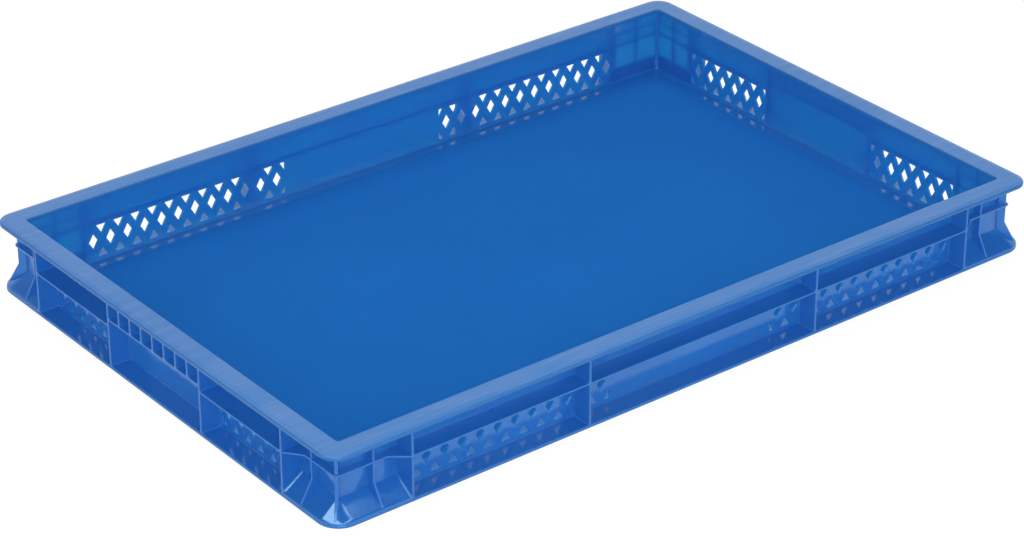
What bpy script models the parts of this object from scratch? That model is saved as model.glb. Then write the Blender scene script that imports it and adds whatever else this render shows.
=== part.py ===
"""Low stacking tray with lattice walls, 600 x 400 mm, moulded in blue plastic.

The frame is +Z up, metres, with the origin on the ground under the tray's centre.
X runs along the long sides. The front is -Y and the left end is -X.
Every member of the moulding is a solid of its own, set CLEARANCE away from its neighbours.
"""
import math

import bmesh
import bpy
from mathutils import Vector

# Driving dimensions, in metres
TRAY_LENGTH = 0.600
TRAY_WIDTH = 0.400
BODY_HEIGHT = 0.0528
FOOT_HEIGHT = 0.0042
RIM_RADIUS = 0.0130
BASE_RADIUS = 0.0165
CLEARANCE = 0.0003
EDGE_SETBACK = 0.0004

RIM_WIDTH = 0.0168
RIM_THICKNESS = 0.0032
RIM_OUTER_ROUND = 0.0030
RIM_INNER_ROUND = 0.0010
WALL_THICKNESS = 0.0015
FLOOR_THICKNESS = 0.0024

FOOT_WIDTH = 0.0026
STACKING_PLAY = 0.0010

RIB_THICKNESS = 0.0018
LONG_CORNER_BAY = 0.0614
END_CORNER_BAY = 0.0550
GRIP_LENGTH = 0.1080
SHELF_THICKNESS = 0.0014
SHELF_DEPTH_BELOW_RIM = 0.0200
GRIP_BAR_BELOW_RIM = 0.0153
GRIP_CELLS = 8

LATTICE_COLUMNS = 10
LATTICE_PITCH = 0.01408
END_LATTICE_PITCH = 0.0139
END_LATTICE_COLUMNS = 6
LATTICE_RISE = 0.0117
LATTICE_STRUT = 0.0058
UPPER_TIP_OFFSET = 0.0052
LOWER_TIP_OFFSET = 0.0059
LATTICE_MIDDLE_ABOVE_FLOOR = 0.0157
LATTICE_TOP_ABOVE_FLOOR = 0.0278
LATTICE_BOTTOM_ABOVE_FLOOR = 0.0032
CENTRE_BAY_COLUMNS = 2

COLLAR_INSET = 0.0095
COLLAR_ARM_RUN = 0.0115
COLLAR_ROUND = 0.0030
UPPER_COLLAR_DEPTH = 0.0030
UPPER_COLLAR_BELOW_RIM = 0.0105
CORNER_RIB_THICKNESS = 0.0015
CORNER_RIB_OFFSET = 0.0230
END_CORNER_RIB_OFFSET = 0.0192
CORNER_RIB_SETBACK = 0.0002
DIAGONAL_RIB_INSET = 0.0116
DIAGONAL_RIB_THICKNESS = 0.0026
FIN_KINK_ABOVE_FLOOR = 0.0164

SKIRT_TOP_ABOVE_FLOOR = 0.0112
SKIRT_WAIST_INSET = 0.0083
SKIRT_WAIST_ABOVE_FLOOR = 0.0058
SKIRT_EDGE_HEIGHT = 0.0016
SKIRT_WALL = 0.0030

ARC_STEPS = 6
ROUND_STEPS = 3

# Derived sizes
HALF_LENGTH = TRAY_LENGTH / 2
HALF_WIDTH = TRAY_WIDTH / 2
RIM_TOP = FOOT_HEIGHT + BODY_HEIGHT
RIM_UNDER = RIM_TOP - RIM_THICKNESS
FLOOR_TOP = FOOT_HEIGHT + FLOOR_THICKNESS
WALL_LOW = FLOOR_TOP + CLEARANCE
WALL_HIGH = RIM_UNDER - CLEARANCE
WALL_OUTER = RIM_WIDTH - WALL_THICKNESS
LONG_OUTER_RIB = HALF_LENGTH - LONG_CORNER_BAY
LONG_INNER_RIB = LONG_OUTER_RIB - LATTICE_COLUMNS * LATTICE_PITCH
END_OUTER_RIB = HALF_WIDTH - END_CORNER_BAY
END_INNER_RIB = GRIP_LENGTH / 2
RIB_ROOT = WALL_OUTER - CLEARANCE
SHELF_LOW = RIM_TOP - SHELF_DEPTH_BELOW_RIM - SHELF_THICKNESS / 2
SHELF_HIGH = SHELF_LOW + SHELF_THICKNESS
RIB_SIDE = RIB_THICKNESS / 2 + CLEARANCE
LATTICE_MIDDLE = FLOOR_TOP + LATTICE_MIDDLE_ABOVE_FLOOR
LATTICE_TOP = FLOOR_TOP + LATTICE_TOP_ABOVE_FLOOR
LATTICE_BOTTOM = FLOOR_TOP + LATTICE_BOTTOM_ABOVE_FLOOR
CORNER_RIB_INSET = COLLAR_INSET + CORNER_RIB_SETBACK

SIDES = ("front", "back", "left", "right")
CORNERS = {"front_left": (-1, -1), "front_right": (1, -1),
           "back_left": (-1, 1), "back_right": (1, 1)}


def half_run(side):
    """Half the outer length of a side."""
    return HALF_LENGTH if side in ("front", "back") else HALF_WIDTH


def half_reach(side):
    """Distance from the tray's centre to the outer outline of a side."""
    return HALF_WIDTH if side in ("front", "back") else HALF_LENGTH


def on_side(side, along, inset, height):
    """World point of a place given along a side, inwards from the outline and upwards."""
    reach = half_reach(side) - inset
    places = {"front": (along, -reach), "back": (-along, reach),
              "left": (-reach, -along), "right": (reach, along)}
    return Vector((*places[side], height))


def extrude_along(side, section, start, end):
    """Both end outlines of a section of insets and heights that runs along a side."""
    return [[on_side(side, along, inset, height) for inset, height in section] for along in (start, end)]


def extrude_inwards(side, outline, outer, inner):
    """Both faces of an outline of places and heights that stands along a side."""
    return [[on_side(side, along, inset, height) for along, height in outline] for inset in (outer, inner)]


def side_ribs(side):
    """Places of the inner and outer full ribs along a side."""
    if side in ("front", "back"):
        return LONG_INNER_RIB, LONG_OUTER_RIB
    return END_INNER_RIB, END_OUTER_RIB


def clear_scene():
    """Remove what the scene holds."""
    for item in list(bpy.data.objects):
        bpy.data.objects.remove(item, do_unlink=True)


def plastic(name, colour, roughness):
    """Moulded plastic with a linear colour."""
    material = bpy.data.materials.new(name)
    material.use_nodes = True
    shader = material.node_tree.nodes["Principled BSDF"]
    shader.inputs["Base Color"].default_value = (*colour, 1.0)
    shader.inputs["Roughness"].default_value = roughness
    shader.inputs["Metallic"].default_value = 0.0
    material.diffuse_color = (*colour, 1.0)
    return material


def finish(name, mesh_data, material=None):
    """Turn a bmesh into a named object with its faces pointing out."""
    bmesh.ops.recalc_face_normals(mesh_data, faces=mesh_data.faces)
    mesh = bpy.data.meshes.new(name)
    mesh_data.to_mesh(mesh)
    mesh_data.free()
    item = bpy.data.objects.new(name, mesh)
    bpy.context.collection.objects.link(item)
    if material:
        mesh.materials.append(material)
    return item


def add_prism(mesh_data, near, far):
    """Add a closed prism between two outlines of world points."""
    first = [mesh_data.verts.new(point) for point in near]
    second = [mesh_data.verts.new(point) for point in far]
    mesh_data.faces.new(first)
    mesh_data.faces.new(list(reversed(second)))
    count = len(first)
    for index in range(count):
        after = (index + 1) % count
        mesh_data.faces.new((first[index], second[index], second[after], first[after]))


def prism(name, near, far, material=None):
    """A named prism between two outlines."""
    mesh_data = bmesh.new()
    add_prism(mesh_data, near, far)
    return finish(name, mesh_data, material)


def sweep(name, stations, material):
    """A closed solid swept through loops of world points, capped at both ends."""
    mesh_data = bmesh.new()
    loops = [[mesh_data.verts.new(point) for point in station] for station in stations]
    for loop, following in zip(loops, loops[1:]):
        for index in range(len(loop)):
            after = (index + 1) % len(loop)
            mesh_data.faces.new((loop[index], following[index], following[after], loop[after]))
    mesh_data.faces.new(loops[0])
    mesh_data.faces.new(list(reversed(loops[-1])))
    bmesh.ops.remove_doubles(mesh_data, verts=mesh_data.verts, dist=CLEARANCE / 100)
    return finish(name, mesh_data, material)


def combine(target, tool, operation):
    """Join or cut an object with another one, which is then only a guide."""
    tool.hide_render = True
    tool.display_type = "WIRE"
    modifier = target.modifiers.new(tool.name, "BOOLEAN")
    modifier.operation = operation
    modifier.solver = "EXACT"
    modifier.object = tool


def corner_arc(radius, sharp, inset):
    """Inset of a corner arc's centre and its radius, which falls to nothing at the sharp inset."""
    reduced = radius * max(1 - inset / sharp, 0.0)
    return inset + reduced, reduced


def arc_angles(first, last, steps):
    """Evenly spaced angles in radians, both ends included."""
    return [math.radians(first + (last - first) * step / steps) for step in range(steps + 1)]


def mitred_rail(name, side, profile, corner, material):
    """One side of a frame that runs round the tray, mitred at its corners."""
    mitre = CLEARANCE / math.sqrt(2)
    quarter = arc_angles(45, 0, ARC_STEPS // 2)
    stations = []
    for sign, angles in ((-1, quarter), (1, list(reversed(quarter)))):
        for angle in angles:
            station = []
            for inset, height in profile:
                centre, radius = corner_arc(corner, corner, inset)
                along = half_run(side) - centre - mitre + radius * math.sin(angle)
                station.append(on_side(side, sign * along, centre - radius * math.cos(angle), height))
            stations.append(station)
    return sweep(name, stations, material)


def rim_profile():
    """Section of the rim, with its top edges rounded."""
    outer = RIM_OUTER_ROUND
    inner = RIM_INNER_ROUND
    points = [(0.0, RIM_UNDER)]
    for angle in arc_angles(180, 90, ROUND_STEPS):
        points.append((outer + outer * math.cos(angle), RIM_TOP - outer + outer * math.sin(angle)))
    for angle in arc_angles(90, 0, ROUND_STEPS - 1):
        inset = RIM_WIDTH - inner + inner * math.cos(angle)
        points.append((inset, RIM_TOP - inner + inner * math.sin(angle)))
    points.append((RIM_WIDTH, RIM_UNDER))
    return points


def rim_rails(material):
    """Flat rim that carries the tray stacked on top."""
    for side in SIDES:
        mitred_rail(f"{side}_rim_rail", side, rim_profile(), RIM_RADIUS, material)


def foot_rails(material):
    """Low ring under the floor that drops inside the rim of the tray below."""
    outer = RIM_WIDTH + STACKING_PLAY
    inner = outer + FOOT_WIDTH
    high = FOOT_HEIGHT - CLEARANCE
    profile = [(outer, 0.0), (outer, high), (inner, high), (inner, 0.0)]
    for side in SIDES:
        mitred_rail(f"{side}_stacking_foot", side, profile, BASE_RADIUS, material)


def floor_plate(material):
    """Closed floor whose edge carries the ribs all round."""
    outline = []
    for sign_x, sign_y, first in ((1, 1, 0), (-1, 1, 90), (-1, -1, 180), (1, -1, 270)):
        for angle in arc_angles(first, first + 90, ARC_STEPS):
            x = sign_x * (HALF_LENGTH - BASE_RADIUS) + BASE_RADIUS * math.cos(angle)
            y = sign_y * (HALF_WIDTH - BASE_RADIUS) + BASE_RADIUS * math.sin(angle)
            outline.append((x, y))
    lower = [Vector((x, y, FOOT_HEIGHT)) for x, y in outline]
    upper = [Vector((x, y, FLOOR_TOP)) for x, y in outline]
    prism("floor_plate", lower, upper, material)


def diamond_hole(centre, half_pitch):
    """Outline of a whole lattice cell, the strut's share taken off."""
    slope = math.atan2(LATTICE_RISE, half_pitch)
    half_width = half_pitch - LATTICE_STRUT / 2 / math.sin(slope)
    half_height = LATTICE_RISE - LATTICE_STRUT / 2 / math.cos(slope)
    return [(centre + half_width, LATTICE_MIDDLE), (centre, LATTICE_MIDDLE + half_height),
            (centre - half_width, LATTICE_MIDDLE), (centre, LATTICE_MIDDLE - half_height)]


def triangle_hole(centre, half_pitch, edge, keep=0):
    """Outline of a cell cut off at the lattice's edge, whole or only its left or right half."""
    slope = math.atan2(LATTICE_RISE, half_pitch)
    tip = LATTICE_MIDDLE + (UPPER_TIP_OFFSET if edge > LATTICE_MIDDLE else -LOWER_TIP_OFFSET)
    half_width = abs(edge - tip) / math.tan(slope)
    left = centre if keep > 0 else centre - half_width
    right = centre if keep < 0 else centre + half_width
    return [(centre, tip), (right, edge), (left, edge)]


def lattice_run(first, columns, half_pitch, half_cells):
    """Outlines of a run of lattice holes from one cell line, outwards along a side.

    half_cells names the ends where the run stops in the middle of a cell.
    """
    holes = []
    for column in range(columns):
        holes.append(diamond_hole(first + (2 * column + 1) * half_pitch, half_pitch))
    for line in range(columns + 1):
        centre = first + 2 * line * half_pitch
        keep = {0: 1, columns: -1}.get(line, 0)
        if line == 0 and "first" not in half_cells:
            continue
        if line == columns and "last" not in half_cells:
            continue
        for edge in (LATTICE_TOP, LATTICE_BOTTOM):
            holes.append(triangle_hole(centre, half_pitch, edge, keep))
    return holes


def side_lattice(side):
    """All lattice holes of one wall."""
    if side in ("front", "back"):
        half_pitch = LATTICE_PITCH / 2
        start = LONG_INNER_RIB - CENTRE_BAY_COLUMNS * LATTICE_PITCH
        holes = lattice_run(LONG_INNER_RIB, LATTICE_COLUMNS, half_pitch, ())
        holes += lattice_run(start, CENTRE_BAY_COLUMNS, half_pitch, ("first",))
    else:
        half_pitch = END_LATTICE_PITCH / 2
        middle = (END_INNER_RIB + END_OUTER_RIB) / 2
        start = middle - half_pitch * END_LATTICE_COLUMNS
        holes = lattice_run(start, END_LATTICE_COLUMNS, half_pitch, ("first", "last"))
    mirrored = [[(-along, height) for along, height in hole] for hole in holes]
    return holes + mirrored


def side_wall(side, material):
    """Thin wall under the rim's inner edge, with its lattice cut through."""
    if side in ("front", "back"):
        reach = HALF_LENGTH - WALL_OUTER
    else:
        reach = HALF_WIDTH - RIM_WIDTH - CLEARANCE
    outline = [(-reach, WALL_LOW), (reach, WALL_LOW), (reach, WALL_HIGH), (-reach, WALL_HIGH)]
    wall = prism(f"{side}_wall", *extrude_inwards(side, outline, WALL_OUTER, RIM_WIDTH), material)
    cutter_data = bmesh.new()
    for hole in side_lattice(side):
        ends = extrude_inwards(side, hole, WALL_OUTER - WALL_THICKNESS, RIM_WIDTH + WALL_THICKNESS)
        add_prism(cutter_data, *ends)
    combine(wall, finish(f"{side}_wall_lattice", cutter_data), "DIFFERENCE")


def rib_section(low, high):
    """Section of a rib that stands out from the wall to the outline."""
    return [(EDGE_SETBACK, low), (EDGE_SETBACK, high), (RIB_ROOT, high), (RIB_ROOT, low)]


def full_ribs(side, material):
    """Four upright ribs from the floor's edge to the rim."""
    inner, outer = side_ribs(side)
    section = rib_section(WALL_LOW, WALL_HIGH)
    for number, place in enumerate((-outer, -inner, inner, outer), 1):
        faces = extrude_along(side, section, place - RIB_THICKNESS / 2, place + RIB_THICKNESS / 2)
        prism(f"{side}_rib_{number}", *faces, material)


def shelf(name, side, start, end, material):
    """Level rib between two upright ribs."""
    faces = extrude_along(side, rib_section(SHELF_LOW, SHELF_HIGH), start + RIB_SIDE, end - RIB_SIDE)
    prism(name, *faces, material)


def shelves(side, material):
    """Level ribs of one side, with none in the grip bay of an end."""
    inner, outer = side_ribs(side)
    shelf(f"{side}_shelf_1", side, -outer, -inner, material)
    shelf(f"{side}_shelf_2", side, inner, outer, material)
    if side in ("front", "back"):
        shelf(f"{side}_shelf_middle", side, -inner, inner, material)


def grip_comb(side, material):
    """Grip bar of an end, hung from the rim by a row of short webs."""
    half = END_INNER_RIB - RIB_SIDE
    low = RIM_TOP - GRIP_BAR_BELOW_RIM - SHELF_THICKNESS / 2
    high = low + SHELF_THICKNESS
    pitch = GRIP_LENGTH / GRIP_CELLS
    outline = [(-half, high), (-half, low), (half, low), (half, high)]
    for web in range(GRIP_CELLS - 1, 0, -1):
        place = -END_INNER_RIB + web * pitch
        right = place + RIB_THICKNESS / 2
        left = place - RIB_THICKNESS / 2
        outline += [(right, high), (right, WALL_HIGH), (left, WALL_HIGH), (left, high)]
    prism(f"{side}_grip_comb", *extrude_inwards(side, outline, EDGE_SETBACK, RIB_ROOT), material)


def skirt_heights():
    """Heights of the flared skirt's top, waist and outer edge."""
    edge = WALL_LOW + SKIRT_EDGE_HEIGHT
    return FLOOR_TOP + SKIRT_TOP_ABOVE_FLOOR, FLOOR_TOP + SKIRT_WAIST_ABOVE_FLOOR, edge


def corner_skirt(corner, material):
    """Flared shell at the foot of a corner, from the wall out to the floor's edge."""
    sign_x, sign_y = CORNERS[corner]
    top, waist, edge = skirt_heights()
    toe = EDGE_SETBACK + SKIRT_WALL + SKIRT_EDGE_HEIGHT
    profile = [(RIB_ROOT, top), (SKIRT_WAIST_INSET, waist), (EDGE_SETBACK, edge), (EDGE_SETBACK, WALL_LOW),
               (toe, WALL_LOW), (RIB_ROOT, top - SKIRT_WALL)]
    start_x = LONG_OUTER_RIB + RIB_SIDE
    start_y = END_OUTER_RIB + RIB_SIDE
    stations = [[(start_x, HALF_WIDTH - inset, height) for inset, height in profile]]
    for angle in arc_angles(90, 0, ARC_STEPS):
        station = []
        for inset, height in profile:
            centre, radius = corner_arc(BASE_RADIUS, RIB_ROOT, inset)
            x = HALF_LENGTH - centre + radius * math.cos(angle)
            y = HALF_WIDTH - centre + radius * math.sin(angle)
            station.append((x, y, height))
        stations.append(station)
    stations.append([(HALF_LENGTH - inset, start_y, height) for inset, height in profile])
    placed = [[Vector((sign_x * x, sign_y * y, z)) for x, y, z in station] for station in stations]
    sweep(f"{corner}_skirt", placed, material)


def collar_outline():
    """Plan of the level collar round a corner, in the quadrant of positive X and Y."""
    start_x = LONG_OUTER_RIB + RIB_SIDE
    start_y = END_OUTER_RIB + RIB_SIDE
    outer_x = HALF_LENGTH - COLLAR_INSET
    outer_y = HALF_WIDTH - COLLAR_INSET
    outline = [(start_x, HALF_WIDTH - EDGE_SETBACK), (start_x + COLLAR_ARM_RUN, outer_y)]
    for angle in arc_angles(90, 0, ARC_STEPS // 2):
        x = outer_x - COLLAR_ROUND + COLLAR_ROUND * math.cos(angle)
        y = outer_y - COLLAR_ROUND + COLLAR_ROUND * math.sin(angle)
        outline.append((x, y))
    outline += [(outer_x, start_y + COLLAR_ARM_RUN), (HALF_LENGTH - EDGE_SETBACK, start_y)]
    outline += [(HALF_LENGTH - RIB_ROOT, start_y), (HALF_LENGTH - RIB_ROOT, HALF_WIDTH - RIB_ROOT)]
    outline.append((start_x, HALF_WIDTH - RIB_ROOT))
    return outline


def upper_collar_outline():
    """Plan of the narrow level rib above the collar, in the quadrant of positive X and Y."""
    start_x = LONG_OUTER_RIB + RIB_SIDE
    start_y = END_OUTER_RIB + RIB_SIDE
    outer = RIB_ROOT - UPPER_COLLAR_DEPTH
    outline = [(start_x, HALF_WIDTH - outer), (HALF_LENGTH - outer, HALF_WIDTH - outer)]
    outline += [(HALF_LENGTH - outer, start_y), (HALF_LENGTH - RIB_ROOT, start_y)]
    outline += [(HALF_LENGTH - RIB_ROOT, HALF_WIDTH - RIB_ROOT), (start_x, HALF_WIDTH - RIB_ROOT)]
    return outline


def fin_section(outer, root, waist_inset, toe_inset):
    """Section of a corner rib: upright above, then a fin that runs out along the skirt."""
    top, waist, edge = skirt_heights()
    kink = FLOOR_TOP + FIN_KINK_ABOVE_FLOOR
    return [(root, WALL_HIGH), (outer, WALL_HIGH), (outer, kink), (toe_inset, edge + 2 * CLEARANCE),
            (waist_inset, waist + 2 * CLEARANCE), (root, top + 2 * CLEARANCE)]


def diagonal_inset(inset):
    """Inset from both sides of the place where an outline crosses the corner's diagonal."""
    centre, radius = corner_arc(BASE_RADIUS, RIB_ROOT, inset)
    return centre - radius * math.sqrt(0.5)


def corner_brace(corner, material):
    """Collar round a corner, with its upright ribs on both sides and on the diagonal."""
    sign_x, sign_y = CORNERS[corner]

    def place(x, y, z):
        return Vector((sign_x * x, sign_y * y, z))

    plan = collar_outline()
    collar_faces = [[place(x, y, height) for x, y in plan] for height in (SHELF_LOW, SHELF_HIGH)]
    brace = prism(f"{corner}_brace", *collar_faces, material)
    upper_low = RIM_TOP - UPPER_COLLAR_BELOW_RIM - SHELF_THICKNESS / 2
    upper_faces = [[place(x, y, height) for x, y in upper_collar_outline()]
                   for height in (upper_low, upper_low + SHELF_THICKNESS)]

    section = fin_section(CORNER_RIB_INSET, RIB_ROOT, SKIRT_WAIST_INSET, EDGE_SETBACK + CLEARANCE)
    long_rib = LONG_OUTER_RIB + CORNER_RIB_OFFSET
    end_rib = END_OUTER_RIB + END_CORNER_RIB_OFFSET
    offsets = (-CORNER_RIB_THICKNESS / 2, CORNER_RIB_THICKNESS / 2)
    long_faces = [[place(long_rib + shift, HALF_WIDTH - inset, height) for inset, height in section]
                  for shift in offsets]
    combine(brace, prism(f"{corner}_long_rib_guide", *long_faces), "UNION")
    end_faces = [[place(HALF_LENGTH - inset, end_rib + shift, height) for inset, height in section]
                 for shift in offsets]
    combine(brace, prism(f"{corner}_end_rib_guide", *end_faces), "UNION")

    diagonal = fin_section(DIAGONAL_RIB_INSET, RIB_ROOT, diagonal_inset(SKIRT_WAIST_INSET),
                           diagonal_inset(EDGE_SETBACK) + CLEARANCE)
    half = DIAGONAL_RIB_THICKNESS / 2 * math.sqrt(0.5)
    diagonal_faces = [[place(HALF_LENGTH - inset + shift, HALF_WIDTH - inset - shift, height)
                       for inset, height in diagonal] for shift in (-half, half)]
    combine(brace, prism(f"{corner}_diagonal_rib_guide", *diagonal_faces), "UNION")
    combine(brace, prism(f"{corner}_upper_collar_guide", *upper_faces), "UNION")


def main():
    """Build the tray."""
    clear_scene()
    gloss = plastic("gloss_blue_plastic", (0.014, 0.100, 0.410), 0.16)
    floor_blue = plastic("floor_blue_plastic", (0.013, 0.120, 0.440), 0.22)
    scuffed = plastic("scuffed_blue_plastic", (0.090, 0.240, 0.560), 0.48)
    floor_plate(floor_blue)
    foot_rails(floor_blue)
    rim_rails(scuffed)
    for side in SIDES:
        side_wall(side, gloss)
        full_ribs(side, gloss)
        shelves(side, gloss)
    for side in ("left", "right"):
        grip_comb(side, gloss)
    for corner in CORNERS:
        corner_skirt(corner, gloss)
        corner_brace(corner, gloss)


main()
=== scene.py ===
# %% [markdown]
# # A blue stacking tray
# The object is a low tray, moulded in one shot from blue plastic, with a wide flat rim, lattice walls and
# a ring of ribs outside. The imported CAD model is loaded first. It is the frame that every piece below is
# built round, so all sizes come out in metres and all pieces land where the solids are.

# %% Load the frame
from math import cos, radians, sin

import bmesh
import bpy
from mathutils import Matrix, Vector


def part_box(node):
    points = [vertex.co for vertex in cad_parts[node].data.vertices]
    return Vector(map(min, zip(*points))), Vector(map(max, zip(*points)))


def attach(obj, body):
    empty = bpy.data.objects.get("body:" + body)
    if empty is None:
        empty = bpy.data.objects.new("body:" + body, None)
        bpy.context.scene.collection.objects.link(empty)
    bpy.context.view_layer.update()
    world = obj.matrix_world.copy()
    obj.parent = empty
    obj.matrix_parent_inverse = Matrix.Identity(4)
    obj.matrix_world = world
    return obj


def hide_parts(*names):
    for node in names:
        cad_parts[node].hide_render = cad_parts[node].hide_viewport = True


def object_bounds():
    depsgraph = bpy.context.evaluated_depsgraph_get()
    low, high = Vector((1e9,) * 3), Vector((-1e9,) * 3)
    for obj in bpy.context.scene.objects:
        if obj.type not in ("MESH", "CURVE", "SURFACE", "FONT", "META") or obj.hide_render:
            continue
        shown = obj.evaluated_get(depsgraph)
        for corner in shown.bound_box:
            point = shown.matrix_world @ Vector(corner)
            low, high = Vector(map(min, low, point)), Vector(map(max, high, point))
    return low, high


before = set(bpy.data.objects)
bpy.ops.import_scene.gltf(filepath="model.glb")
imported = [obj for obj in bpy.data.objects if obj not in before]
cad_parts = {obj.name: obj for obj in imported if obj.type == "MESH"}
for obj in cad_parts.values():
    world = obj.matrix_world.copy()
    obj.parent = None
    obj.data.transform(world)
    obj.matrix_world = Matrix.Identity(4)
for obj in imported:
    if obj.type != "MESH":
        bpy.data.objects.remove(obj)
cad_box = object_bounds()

half_length = cad_box[1][0]
half_width = cad_box[1][1]
print(f"tray {2000 * half_length:.1f} x {2000 * half_width:.1f} x {1000 * cad_box[1][2]:.1f} mm")

# %% [markdown]
# ## Levels and insets
# Every member of the moulding sits at a level above the ground and at an inset from the outer outline.
# Typing those numbers again would work until a solid changes, so they are measured on the CAD nodes.
# The solids stand a hair apart. The pieces here sink into their neighbours by a little, as one moulding.

# %% Measure the members
floor_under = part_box("floor_plate")[0].z
floor_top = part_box("floor_plate")[1].z
rim_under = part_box("front_rim_rail")[0].z
rim_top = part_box("front_rim_rail")[1].z
wall_outer = half_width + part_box("front_wall")[0].y
wall_inner = half_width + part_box("front_wall")[1].y
rib_edge = half_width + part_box("front_rib_1")[0].y
shelf_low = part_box("front_shelf_1")[0].z
shelf_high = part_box("front_shelf_1")[1].z
bar_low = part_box("left_grip_comb")[0].z
bar_high = bar_low + shelf_high - shelf_low
skirt_top = floor_top + 0.0108
upper_low = rim_top - 0.0112
into = 0.0004
print(f"floor {floor_top:.4f}, shelf {shelf_low:.4f}, rim {rim_under:.4f} to {rim_top:.4f}")
print(f"wall from {wall_outer:.4f} to {wall_inner:.4f} inside the outline")

# %% [markdown]
# ## Four sides from one
# A tray has two long sides and two ends. Each is modelled as if it were the front, with X along it, Y
# going inwards and Z up, and is then turned about the tray's centre. Turning a finished bmesh is safer
# than working out four sets of coordinates.

# %% Sides
sides = {"front": (0, half_width, half_length), "right": (90, half_length, half_width),
         "back": (180, half_width, half_length), "left": (270, half_length, half_width)}


def turn_to_side(bm, side):
    """Turn a mesh that was modelled as the front to its own side."""
    turn = Matrix.Rotation(radians(sides[side][0]), 3, "Z")
    bmesh.ops.rotate(bm, cent=(0, 0, 0), matrix=turn, verts=bm.verts)


def rib_places(side):
    """Middles of the four full ribs along a side, measured on the CAD nodes."""
    axis = 0 if side in ("front", "back") else 1
    boxes = [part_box(f"{side}_rib_{number}") for number in (1, 2, 3, 4)]
    return sorted((low[axis] + high[axis]) / 2 for low, high in boxes)


rib_half = (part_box("front_rib_1")[1].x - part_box("front_rib_1")[0].x) / 2
print("rib places", {side: [round(place, 4) for place in rib_places(side)] for side in sides})

# %% [markdown]
# ## Mixing the plastic
# The tray is polypropylene: glossy, a little cloudy, and never quite one colour. A flat colour would look
# like a toy. Each finish is a small node graph on Object coordinates: a slow noise shifts the blue, a
# second one changes how sharp the reflections are, and a fine one raises a faint skin in the normal.

# %% Node helpers
def add_node(tree, kind, links=None, **settings):
    """Add a node, set its options and input values, and link other nodes' outputs to its inputs."""
    node = tree.nodes.new(kind)
    for name, value in settings.items():
        if hasattr(node, name):
            setattr(node, name, value)
        else:
            node.inputs[name.replace("_", " ")].default_value = value
    for name, output in (links or {}).items():
        tree.links.new(output, node.inputs[name])
    return node


def ramp(tree, factor, stops):
    """A colour ramp with its stops given as places and linear colours."""
    node = add_node(tree, "ShaderNodeValToRGB", {"Fac": factor})
    elements = node.color_ramp.elements
    while len(elements) < len(stops):
        elements.new(0.5)
    for element, (place, colour) in zip(elements, stops):
        element.position = place
        element.color = (*colour, 1.0)
    return node.outputs["Color"]


def between(tree, value, low, high):
    """Map a value of 0 to 1 to a range."""
    node = add_node(tree, "ShaderNodeMapRange", {"Value": value}, To_Min=low, To_Max=high)
    return node.outputs["Result"]


def plastic_base(name):
    """An empty plastic: its node tree, shader and Object coordinates."""
    material = bpy.data.materials.new(name)
    material.use_nodes = True
    tree = material.node_tree
    shader = tree.nodes["Principled BSDF"]
    shader.inputs["IOR"].default_value = 1.49
    place = add_node(tree, "ShaderNodeTexCoord").outputs["Object"]
    return material, tree, shader, place


def skin(tree, place, scale, depth):
    """The faint uneven skin of a moulding, as a normal."""
    noise = add_node(tree, "ShaderNodeTexNoise", {"Vector": place}, Scale=scale, Detail=2.0)
    bump = add_node(tree, "ShaderNodeBump", {"Height": noise.outputs["Fac"]}, Strength=1.0, Distance=depth)
    return bump.outputs["Normal"]


print("node helpers ready")

# %% [markdown]
# ## Three blues
# Ribs, walls and corner skirts are one plastic in slightly different shades; the skirts' deeper blue is
# painted shade. The walls are thin, so light from behind goes some millimetres into them and comes out
# cloudy. That is subsurface scattering: a share of the light enters the surface, and each colour has its own
# reach. The ribs need none of it.

# %% Blue plastics
def cloud_through(shader, share, depth):
    """Let a share of the light in for some way, as cloudy plastic does, and tint what it mirrors."""
    shader.inputs["Subsurface Weight"].default_value = share
    shader.inputs["Subsurface Radius"].default_value = (0.12, 0.85, 0.65)
    shader.inputs["Subsurface Scale"].default_value = depth
    shader.inputs["Specular Tint"].default_value = (0.55, 0.88, 1.0, 1.0)


def mottled_blue(tree, place, deep, pale):
    """A slow drift between two blues."""
    slow = add_node(tree, "ShaderNodeTexNoise", {"Vector": place}, Scale=9.0, Detail=3.0)
    return ramp(tree, slow.outputs["Fac"], [(0.3, deep), (0.7, pale)])


def gloss_moulded_blue(name, deep, pale, share):
    """Glossy moulded plastic, mottled between two blues and two roughnesses."""
    material, tree, shader, place = plastic_base(name)
    blue = mottled_blue(tree, place, deep, pale)
    tree.links.new(blue, shader.inputs["Base Color"])
    patches = add_node(tree, "ShaderNodeTexNoise", {"Vector": place}, Scale=30.0, Detail=4.0)
    tree.links.new(between(tree, patches.outputs["Fac"], 0.06, 0.16), shader.inputs["Roughness"])
    tree.links.new(skin(tree, place, 260.0, 0.00003), shader.inputs["Normal"])
    shader.inputs["Specular IOR Level"].default_value = 0.8
    cloud_through(shader, share, 0.008)
    return material


gloss_blue = gloss_moulded_blue("gloss_moulded_blue", (0.0150, 0.116, 0.428), (0.0175, 0.130, 0.458), 0.0)
wall_blue = gloss_moulded_blue("cloudy_wall_blue", (0.0160, 0.107, 0.405), (0.0185, 0.121, 0.440), 0.95)
# painted shade: the corner skirts get a deeper copy of the same plastic blue
skirt_painted_shade_blue = gloss_moulded_blue("skirt_blue_painted_shade", (0.0130, 0.107, 0.396), (0.0150, 0.120, 0.424), 0.0)
print("mixed", gloss_blue.name, wall_blue.name, "and", skirt_painted_shade_blue.name)

# %% [markdown]
# ## Panes of light
# Near the corners the ribs behind a wall stand out from inside: the wall glows between them and stays dark
# in front of them. Scattering alone blurs that away, so the panes are drawn from the places of the ribs.
# The surface's normal tells the inner face from the outer one: it points back towards the centre.

# %% Panes of light
def level(height):
    """A height as a share of the wall."""
    return (height - floor_top) / (rim_under - floor_top)


def grey_ramp(tree, factor, stops):
    """A ramp of greys, used as a mask."""
    return ramp(tree, factor, [(stop, (share, share, share)) for stop, share in stops])


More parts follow.
